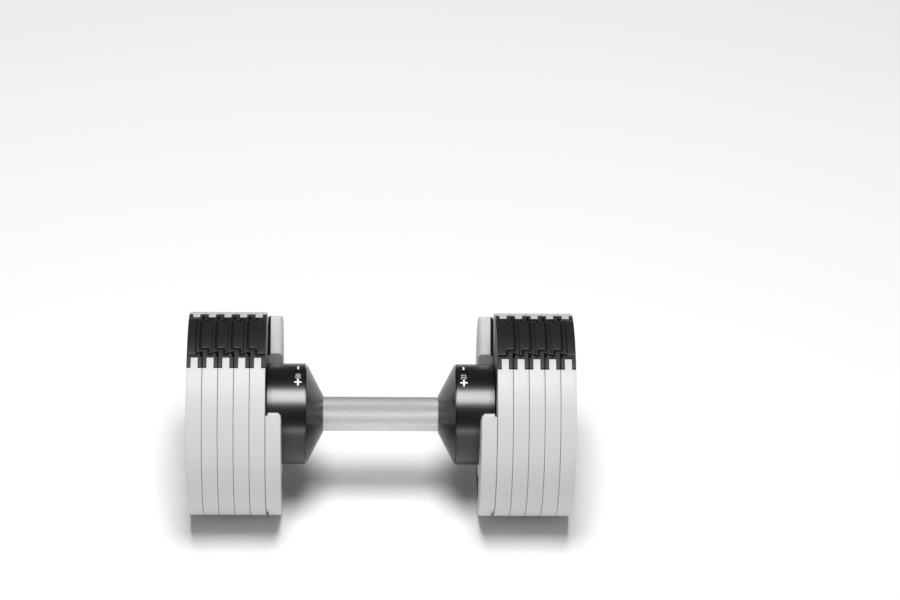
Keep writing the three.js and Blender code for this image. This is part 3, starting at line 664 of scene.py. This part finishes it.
def rim_depth(x, y, x0, x1, first, last, wall):
    """How far the insert's top lies below the rim: the moulded line's rounded channel and, beside the
    groove's mouth, a lead-in that narrows away from the middle."""
    path = line_path(first, last)
    dx, dy = x - x1, np.abs(y)
    distance = np.full(dx.shape, 1e3)
    for px, py in path:
        distance = np.minimum(distance, np.hypot(dx - px, dy - py))
    t = np.clip((LINE_HALF + 0.38 - distance) / 0.5, 0, 1)
    full = CREASE_DEPTH if last else LINE_DEPTH
    depth = full * t * t * (3 - 2 * t) + 0.55 * np.exp(-((distance / 1.15) ** 2))
    if not first:
        width = MOUTH_WIDTH * np.exp(-np.maximum(dy - wall, 0) / MOUTH_LENGTH)
        t = np.clip((width - (x - x0)) / 0.35, 0, 1)
        depth = np.maximum(depth, np.where(dy > wall, MOUTH_DEPTH * t, 0))
    if last:
        past = (x - x0 - GROOVE_DEPTH) / SEAT_EDGE
        depth = depth + np.where((past >= 0) & (dy < wall), SEAT_EDGE * np.exp(-past * past), 0)
    return depth


def insert_columns():
    """Distances from the middle of an insert's top at which it is sampled: up to the rail's side, from
    there to the slot's side, and over the flange."""
    inner = np.concatenate([np.linspace(0, 17, 12)[:-1], np.arange(17, TONGUE_ROOT, FINE), [TONGUE_ROOT]])
    slot = SLOT_HALF - CLEARANCE
    middle = np.linspace(TONGUE_ROOT, slot, 22)
    flange = np.linspace(slot, FLANGE_HALF, 12)[1:]
    return inner, middle, flange


def insert_ring(x, kind, span, ends, inset=0.0, groove=False):
    """One ring of an insert: across its top, down one side, round below and up the other side. kind says
    how wide it is there: flange, middle (the steel's slot) or tongue (the dovetail past the face)."""
    (x0, x1), (first, last) = span, ends
    radius = PLATE_RADIUS - inset
    inner, middle, flange = insert_columns()
    wall = TONGUE_ROOT
    slope = (TONGUE_HEAD - TONGUE_ROOT) / TONGUE_REACH
    slot = SLOT_HALF - CLEARANCE - inset
    wide = FLANGE_HALF - inset
    if groove:
        wall = TONGUE_ROOT + slope * (x - x0 + PLATE_GAP) + RAIL_PLAY
    if kind == "tongue":
        wall = TONGUE_ROOT + slope * (x - x1) - inset
    inner_y = inner * wall / TONGUE_ROOT
    middle_y = wall + (middle - TONGUE_ROOT) * (slot - wall) / (middle[-1] - TONGUE_ROOT)
    flange_y = slot + (flange - middle[-1]) * (wide - slot) / (flange[-1] - middle[-1])
    rail_radius = radius if (kind == "tongue" or last or groove) else PLATE_RADIUS
    inner_z = np.sqrt(rail_radius**2 - inner_y**2)
    inner_z -= rim_depth(np.full_like(inner_y, x), inner_y, x0, x1, first, last, wall)
    if groove:
        inner_z[:] = RAIL_BOTTOM - RAIL_PLAY
    middle_z = np.sqrt(radius**2 - middle_y**2)
    flange_z = np.sqrt(radius**2 - flange_y**2)
    if kind == "tongue":
        top = inner_z[-1]
        drop = np.linspace(0, 1, len(middle_y) + len(flange_y) + 1)[1:]
        side_z = top + (RAIL_BOTTOM + inset - top) * drop
        middle_y, flange_y = np.full_like(middle_y, wall), np.full_like(flange_y, wall)
        middle_z, flange_z = side_z[: len(middle_y)], side_z[len(middle_y) :]
    else:
        middle_z -= rim_depth(np.full_like(middle_y, x), middle_y, x0, x1, first, last, wall)
        if kind == "middle":
            corner = math.sqrt(PLATE_RADIUS**2 - FLANGE_HALF**2)
            flange_y = np.full_like(flange_y, slot)
            flange_z = np.linspace(middle_z[-1], corner, len(flange_z) + 1)[1:]
        else:
            flange_z -= rim_depth(np.full_like(flange_y, x), flange_y, x0, x1, first, last, wall)
    below = 40
    if kind == "tongue":
        share = np.linspace(0, 1, 6 + below)
        under = np.column_stack([wall * (1 - share), np.full(len(share), RAIL_BOTTOM + inset)])
    else:
        reach = slot if kind == "middle" else wide
        down = line((reach, flange_z[-1]), (reach, 0), 7)[1:]
        under = np.vstack([down, arc((0, 0), reach, 0, -90, below)])
    half = np.vstack(
        [
            np.column_stack([inner_y, inner_z]),
            np.column_stack([middle_y, middle_z]),
            np.column_stack([flange_y, flange_z]),
            under,
        ]
    )
    mirror = (half * [-1, 1])[-2:0:-1]
    return at_x(np.vstack([half, mirror]), x)


def insert_shape(k):
    """A plate's insert: flanges in the plate's two rebates, a web in its slot, a groove for the inner
    neighbour's tongue and a tongue of its own."""
    (x0, x1), first, last = PLATES[k - 1], k == 1, k == len(PLATES)
    flange = LIP - CLEARANCE
    span, ends = (x0, x1), (first, last)
    groove_end = x0 + (0 if first else GROOVE_DEPTH)
    ring = lambda x, kind, inset=0.0, groove=False: insert_ring(x, kind, span, ends, inset, groove)
    kind_at = lambda x: "middle" if x0 + flange < x < x1 - flange else "flange"
    rounding = round_over(0.5, 4)
    grooved = not first
    rings = [ring(x0 + dx, "flange", inset, grooved) for dx, inset in rounding]
    stations = np.arange(x0 + 0.5 + FINE, x1 - 0.5, FINE)
    breaks = {x0 + flange: ("flange", "middle"), x1 - flange: ("middle", "flange")}
    events = [(x, kind_at(x), kind_at(x)) for x in stations if abs(x - groove_end) > 0.02]
    events += [(x, *kinds) for x, kinds in breaks.items()]
    if grooved:
        events.append((groove_end, "middle", "middle"))
    for x, before, after in sorted(events):
        inside = grooved and x <= groove_end
        rings.append(ring(x, before, 0.0, inside))
        if before != after:
            rings.append(ring(x, after, 0.0, inside))
        if grooved and x == groove_end:
            rings.append(ring(x, after))
    rings += [ring(x1 - dx, "flange", inset) for dx, inset in rounding[::-1]]
    if not last:
        rings.append(ring(x1, "tongue"))
        rings += [ring(x, "tongue") for x in np.arange(x1 + FINE, x1 + TONGUE_REACH - 0.3, FINE)]
        tongue_end = x1 + TONGUE_REACH + TONGUE_FILL
        rings += [ring(tongue_end - dx, "tongue", inset) for dx, inset in round_over(TONGUE_EDGE, 2)[::-1]]
    return swept(rings)


# ---------------------------------------------------------------- housing
def arched(x0, x1, low, high, angles):
    """A plate bent around the axis: the rectangle from x0 to x1 and from low to high in radius, carried
    through the angles as (x, r cos a, r sin a)."""
    section = np.array([(x0, low), (x1, low), (x1, high), (x0, high)])
    return swept([section[:, [0, 1, 1]] * [1, math.cos(a), math.sin(a)] for a in angles])


def print_patch(x, angle, size_x, size_around, radius):
    """A thin raised rectangle on a cylinder, centred at a station and an angle. Its outer face stands proud
    by half the print's thickness."""
    half = math.degrees(size_around / 2 / radius)
    angles = np.radians(np.linspace(angle - half, angle + half, 12))
    low, high = radius - PRINT_THICKNESS, radius + PRINT_THICKNESS / 2
    x0, x1 = x - size_x / 2, x + size_x / 2
    return arched(x0, x1, low, high, angles)


def barrel_shape():
    """The barrel: outer wall with a rounded seam edge, end wall with a seat for the bar guide, and hub."""
    x0, x1 = BARREL
    bore, seat, hub_bore, hub = BARREL_RADIUS - SHELL, 14.3, 11.7, 18.5
    seat_depth, hub_start = 5.6, extent("retaining_ring_right", X)[1] + CLEARANCE
    profile = [
        (x0, bore),
        (x0, BARREL_RADIUS),
        (x1, BARREL_RADIUS),
        (x1, seat),
        (x1 - seat_depth, seat),
        (x1 - seat_depth, hub_bore),
        (hub_start, hub_bore),
        (hub_start, hub),
        (x1 - SHELL, hub),
        (x1 - SHELL, bore),
    ]
    return lathe(softened(profile, {0: 0.3, 1: 0.3, 2: 0.4, 3: 0.3, 7: 0.3, 8: 0.5, 9: 0.8}))


def cut_window(target, side):
    """Cuts the dial window through the barrel: a rounded rectangle carried up through the wall."""
    middle, low, high = sum(LENS) / 2 * side, DIAL_RADIUS + 0.6, BARREL_RADIUS + 2
    outline = rounded_rectangle(WINDOW_AXIAL / 2, WINDOW_AROUND / 2, 0.8)
    rings = [np.insert(outline + [middle, 0], 2, z, axis=1) for z in (low, high)]
    cutter = bpy.data.objects.new("window_cutter", finished_mesh("window_cutter", swept(rings)))
    bpy.context.scene.collection.objects.link(cutter)
    tool = target.modifiers.new("window", "BOOLEAN")
    tool.operation, tool.object, tool.solver = "DIFFERENCE", cutter, "EXACT"
    edges = target.modifiers.new("edges", "BEVEL")
    edges.width, edges.segments = 0.25 * MM, 2
    edges.limit_method, edges.angle_limit = "ANGLE", math.radians(50)
    bpy.context.view_layer.update()
    cut = bpy.data.meshes.new_from_object(target.evaluated_get(bpy.context.evaluated_depsgraph_get()))
    target.modifiers.clear()
    target.data = cut
    cut.shade_smooth()
    cut.set_sharp_from_angle(angle=math.radians(35))
    true_cylinder(cut)
    bpy.data.objects.remove(cutter)


def true_cylinder(mesh):
    """Gives the corners on the barrel's outer wall the cylinder's own normals, (0, y, z) / radius, so that
    the faces cut by the window shade like the rest."""
    count = len(mesh.loops)
    normals, corners = np.empty(count * 3), np.empty(count, np.int32)
    mesh.corner_normals.foreach_get("vector", normals)
    mesh.loops.foreach_get("vertex_index", corners)
    points = np.empty(len(mesh.vertices) * 3)
    mesh.vertices.foreach_get("co", points)
    points = points.reshape(-1, 3)[corners] / MM - [0, 0, AXIS_HEIGHT]
    radial = points * [0, 1, 1]
    reach = np.linalg.norm(radial, axis=1)
    radial /= np.maximum(reach, 1e-6)[:, None]
    normals = normals.reshape(-1, 3)
    outside = (reach > BARREL_RADIUS - 0.05) & ((normals * radial).sum(1) > 0.94)
    normals[outside] = radial[outside]
    mesh.normals_split_custom_set(normals.tolist())


def add_print(target, shapes, side, material):
    """Joins printed marks to a piece, as shells of their own with the ink's material."""
    target.data.materials.append(material)
    number = len(target.data.materials) - 1
    marks = finished_mesh("marks", joined(*shapes), side)
    whole = bmesh.new()
    whole.from_mesh(target.data)
    count = len(whole.faces)
    whole.from_mesh(marks)
    whole.faces.ensure_lookup_table()
    for face in whole.faces[count:]:
        face.material_index = number
    whole.to_mesh(target.data)
    whole.free()
    bpy.data.meshes.remove(marks)


def cone_shape():
    """The cone cover: a straight cone from the grip's edge to the seam, a spigot into the barrel and a hub
    around the grip's bush. The seam edge and the small edge are rounded."""
    x0, register = CONE
    seam = BARREL[0] - SEAM_GAP
    lip, bore = GRIP_RADIUS + CONE_LIP, GRIP_RADIUS + CLEARANCE
    outer = BARREL_RADIUS - SHELL - CLEARANCE
    inner = outer - SPIGOT_WALL
    bush, hub, shoulder = 19.25, 21.95, x0 + 2.5
    slope = (seam - x0) / (BARREL_RADIUS - lip)
    inside = lambda radius: x0 + (radius - lip) * slope + SHELL * math.hypot(1, slope)
    profile = [
        (x0, bore),
        (x0, lip),
        (seam, BARREL_RADIUS),
        (seam, outer),
        (register, outer),
        (register, inner),
        (inside(inner), inner),
        (inside(hub), hub),
        (GRIP_HALF, hub),
        (GRIP_HALF, bush),
        (shoulder, bush),
        (shoulder, bore),
    ]
    return lathe(softened(profile, {1: 0.35, 2: 0.4, 4: 0.3, 5: 0.3}))


def lens_shape():
    """The window: a piece of a tube over the opening's width, with a thin wall."""
    half = LENS_HALF / LENS_RADIUS
    angles = math.pi / 2 + np.linspace(-half, half, 24)
    return arched(*LENS, LENS_RADIUS - LENS_WALL, LENS_RADIUS, angles)


def dial_shape():
    """The dial: an outer band for the numbers, a web and a hub."""
    x0, x1 = DIAL
    band, web = DIAL_RADIUS - 2.2, x1 - 2.0
    hub, bore = 17.5, 13.8
    profile = [
        (x0, band),
        (x0, DIAL_RADIUS),
        (x1, DIAL_RADIUS),
        (x1, bore),
        (x0, bore),
        (x0, hub),
        (web, hub),
        (web, band),
    ]
    return lathe(softened(profile, {1: 0.4, 2: 0.4, 3: 0.3, 4: 0.3}), 192)


def number_shape(text, angle):
    """A number wrapped on the dial at an angle: its height runs along the axis with its top towards the
    left end, and its length around the axis. x = middle - up, angle = angle - length / radius."""
    curve = bpy.data.curves.new("number", "FONT")
    curve.body, curve.size, curve.align_x, curve.align_y = text, 1.0, "CENTER", "CENTER"
    curve.extrude, curve.resolution_u, curve.offset = 0.5, 6, 0.012  # offset makes the strokes bolder
    holder = bpy.data.objects.new("number", curve)
    bpy.context.scene.collection.objects.link(holder)
    bpy.context.view_layer.update()
    mesh = bpy.data.meshes.new_from_object(holder.evaluated_get(bpy.context.evaluated_depsgraph_get()))
    bpy.data.objects.remove(holder)
    bpy.data.curves.remove(curve)
    flat = np.empty(len(mesh.vertices) * 3)
    mesh.vertices.foreach_get("co", flat)
    flat = flat.reshape(-1, 3)
    low, high = flat.min(0), flat.max(0)
    scale = DIGIT_HEIGHT / (high[1] - low[1])
    centre = (low + high) / 2
    across, up, _ = ((flat - centre) * scale * [DIGIT_WIDEN, 1, 1]).T
    radius = DIAL_RADIUS + np.where(flat[:, 2] > 0, DIGIT_PROUD, -DIGIT_SUNK)
    turn = math.radians(angle) - across / DIAL_RADIUS
    points = np.column_stack([-up, radius * np.cos(turn), radius * np.sin(turn)])
    faces = [list(polygon.vertices) for polygon in mesh.polygons]
    bpy.data.meshes.remove(mesh)
    return points, faces


# ---------------------------------------------------------------- grip
def grip_shape():
    """The grip: a tube whose visible middle is knurled. On a grid of half-diamonds, numbered i around and
    j along, points with i + j odd are the peaks and the others the hollows where two grooves cross. Each
    cell is split along its groove."""
    half = CONE[0] + KNURL_PAST
    along = 2 * round(half / KNURL_ALONG / 2) * 2
    x = np.linspace(-half, half, along + 1)
    i, j = np.meshgrid(np.arange(KNURL_AROUND), np.arange(along + 1), indexing="ij")
    angle = 2 * math.pi * i / KNURL_AROUND
    plain = (j == 0) | (j == along)
    radius = np.where(((i + j) % 2 == 1) & ~plain, GRIP_RADIUS, GRIP_RADIUS - KNURL_DEPTH)
    points = np.stack([x[j], radius * np.cos(angle), radius * np.sin(angle)], axis=-1).reshape(-1, 3)
    number = np.arange(points.shape[0]).reshape(KNURL_AROUND, along + 1)
    ahead = np.roll(number, -1, axis=0)
    a, b, c, d = number[:, :-1], ahead[:, :-1], ahead[:, 1:], number[:, 1:]
    even = ((i + j) % 2 == 0)[:, :-1]
    straight = np.concatenate([np.stack([a, b, c], -1)[even], np.stack([a, c, d], -1)[even]])
    crossed = np.concatenate([np.stack([a, b, d], -1)[~even], np.stack([b, c, d], -1)[~even]])
    faces = np.concatenate([straight, crossed]).tolist()
    angles = 2 * math.pi * np.arange(KNURL_AROUND) / KNURL_AROUND
    right = [
        (half, GRIP_RADIUS - KNURL_DEPTH),
        (half + 0.2, GRIP_RADIUS),
        (GRIP_HALF - GRIP_CHAMFER, GRIP_RADIUS),
        (GRIP_HALF, GRIP_RADIUS - GRIP_CHAMFER),
        (GRIP_HALF, GRIP_RADIUS - GRIP_WALL),
    ]
    profile = right + [(-px, r) for px, r in right[::-1]]
    rings = [
        np.column_stack([np.full(KNURL_AROUND, px), r * np.cos(angles), r * np.sin(angles)])
        for px, r in profile
    ]
    return joined((points, faces), swept(rings, caps=(False, False)))


# ---------------------------------------------------------------- assembly
finishes = {
    "plate": painted_steel(),
    "insert": moulded_insert(),
    "housing": housing_plastic(),
    "grip": grip_steel(),
    "machined": machined_steel("turned_steel", 0.55, 0.3),
    "fastener": machined_steel("blackened_steel", 0.16, 0.34),
    "bearing": bearing_plastic(),
    "dial": dial_plastic(),
    "print": white_print(),
    "lens": clear_lens(),
}


def build_end(end):
    """The plates, inserts, horseshoe plate and screws of one end, then its housing."""
    side = ENDS[end]
    paint, insert, fastener = finishes["plate"], finishes["insert"], finishes["fastener"]
    for k, (x0, x1) in enumerate(PLATES, 1):
        name = f"plate_{k}_{end}"
        piece("steel_" + name, plate_shape(x0, x1), paint, FIXED, [name], side, 40)
        name = f"plate_insert_{k}_{end}"
        piece("moulded_" + name, insert_shape(k), insert, FIXED, [name], side, 50)
    name = "horseshoe_plate_" + end
    shape = horseshoe_shape(*HORSESHOE)
    plate = piece("steel_" + name, shape, paint, FIXED, [name], side, 40)
    # the arms' outboard bevels get a black strip of painted shade
    line_arm_edge(plate)
    name = "horseshoe_insert_" + end
    shape = swept(edged(kidney_outline, *KIDNEY_INSERT, 0.6))
    piece("moulded_" + name, shape, insert, FIXED, [name], side)
    height = -math.sqrt(SCREW_PITCH**2 - SCREW_SPREAD**2)
    for place, sign in (("front", -1), ("back", 1)):
        name = f"horseshoe_screw_{place}_{end}"
        start, stop = extent(f"horseshoe_screw_{place}_right", X)
        shape = screw_shape(start - SCREW_PROUD, stop, sign * SCREW_SPREAD, height)
        piece("cap_" + name, shape, fastener, FIXED, [name], side)
    housing(end, side)


def housing(end, side):
    """The barrel with its window and marks, the cone, the lens, and the dial with its ten numbers."""
    plastic = finishes["housing"]
    name = "housing_barrel_" + end
    barrel = piece("moulded_" + name, barrel_shape(), plastic, FIXED, [name], side)
    cut_window(barrel, side)
    station = sum(LENS) / 2
    marks = [
        print_patch(station, PLUS_ANGLE, PLUS_WIDE, STROKE, BARREL_RADIUS),
        print_patch(station, PLUS_ANGLE, STROKE, PLUS_AROUND, BARREL_RADIUS + 0.01),
        print_patch(station, MINUS_ANGLE, STROKE, MINUS_AROUND, BARREL_RADIUS),
    ]
    add_print(barrel, marks, side, finishes["print"])
    name = "housing_cone_" + end
    piece("moulded_" + name, cone_shape(), plastic, FIXED, [name], side)
    name = "dial_window_" + end
    piece("clear_" + name, lens_shape(), finishes["lens"], FIXED, [name], side)
    name = "dial_" + end
    dial = piece("numbered_" + name, dial_shape(), finishes["dial"], GRIP, [name], side)
    numbers = []
    for i, value in enumerate(POUNDS if side < 0 else KILOGRAMS):
        points, faces = number_shape(str(value), NUMBER_ANGLE + 360 / DIAL_STEPS * i)
        numbers.append((points * [side, 1, 1] + [station, 0, 0], faces))
    add_print(dial, numbers, side, finishes["print"])


def finish_cad_nodes():
    """The pieces inside keep their CAD shape and get their finish."""
    by_slot = {"mechanism_steel": "machined", "fastener_steel": "fastener", "bearing_plastic": "bearing"}
    for entry in frame["record"]["materials"]:
        if entry["slot"] in by_slot:
            for name in entry.get("nodes", []):
                node = frame["nodes"][name]
                node.data.materials.clear()
                node.data.materials.append(finishes[by_slot[entry["slot"]]])


piece("knurled_grip_tube", grip_shape(), finishes["grip"], GRIP, ["grip_tube"], sharp=20)
for end_name in ENDS:
    build_end(end_name)
finish_cad_nodes()


# ---------------------------------------------------------------- floor, light and camera
def floor():
    """A broad pale floor, flat, with its far edge out of sight."""
    made = Finish("pale_floor")
    made.set("Base Color", grey(0.93))
    made.set("Roughness", 0.9)
    reach = 12.0
    corners = [(-reach, -reach, 0), (reach, -reach, 0), (reach, reach, 0), (-reach, reach, 0)]
    mesh = bpy.data.meshes.new("floor")
    mesh.from_pydata(corners, [], [(0, 1, 2, 3)])
    ground = bpy.data.objects.new("floor", mesh)
    bpy.context.scene.collection.objects.link(ground)
    mesh.materials.append(made.material)


def area_light(name, place, target, size, power):
    """A soft box at a place, facing a target: metres and watts."""
    light = bpy.data.lights.new(name, "AREA")
    light.shape, light.energy = "RECTANGLE", power
    light.size, light.size_y = size
    made = bpy.data.objects.new(name, light)
    made.location = place
    made.rotation_euler = (Vector(target) - Vector(place)).to_track_quat("-Z", "Y").to_euler()
    bpy.context.scene.collection.objects.link(made)


def studio_light():
    """A dim white room, a compact soft box overhead and a weak strip low in front."""
    world = bpy.data.worlds.new("studio")
    bpy.context.scene.world = world
    world.use_nodes = True
    background = world.node_tree.nodes["Background"]
    background.inputs["Color"].default_value = grey(1.0)
    background.inputs["Strength"].default_value = 0.15
    middle = (0, 0, AXIS_HEIGHT * MM)
    area_light("overhead", (0.0, -0.6, 3.1), middle, (1.1, 1.6), 106.0)
    area_light("front_fill", (-0.3, -1.8, 0.12), middle, (1.6, 0.2), 6.0)
    bpy.context.scene.view_settings.view_transform = "Standard"


def camera():
    """A long lens in front and above. The handle's middle lies left of and below the lens axis, by these
    tangents."""
    yaw, elevation, roll = (math.radians(a) for a in (-0.674, 38.493, -0.701))
    distance, aside, below = 3.4835, -0.018547, -0.030399
    level = math.cos(elevation)
    back = Vector((math.sin(yaw) * level, -math.cos(yaw) * level, math.sin(elevation)))
    right = Vector((0, 0, 1)).cross(back).normalized()
    rolled = Matrix.Rotation(roll, 3, "Z") @ Matrix((right, back.cross(right), back))
    aim = Vector((0, 0, -1)).rotation_difference(Vector((aside, below, -1)).normalized()).to_matrix()
    made = bpy.data.objects.new("camera", bpy.data.cameras.new("camera"))
    made.data.lens, made.data.sensor_width = 149.98, 36.0
    made.data.clip_end = 50
    place = Vector((0, 0, AXIS_HEIGHT * MM)) + distance * back
    made.matrix_world = Matrix.Translation(place) @ (aim @ rolled).transposed().to_4x4()
    bpy.context.scene.collection.objects.link(made)
    bpy.context.scene.camera = made


floor()
studio_light()
camera()
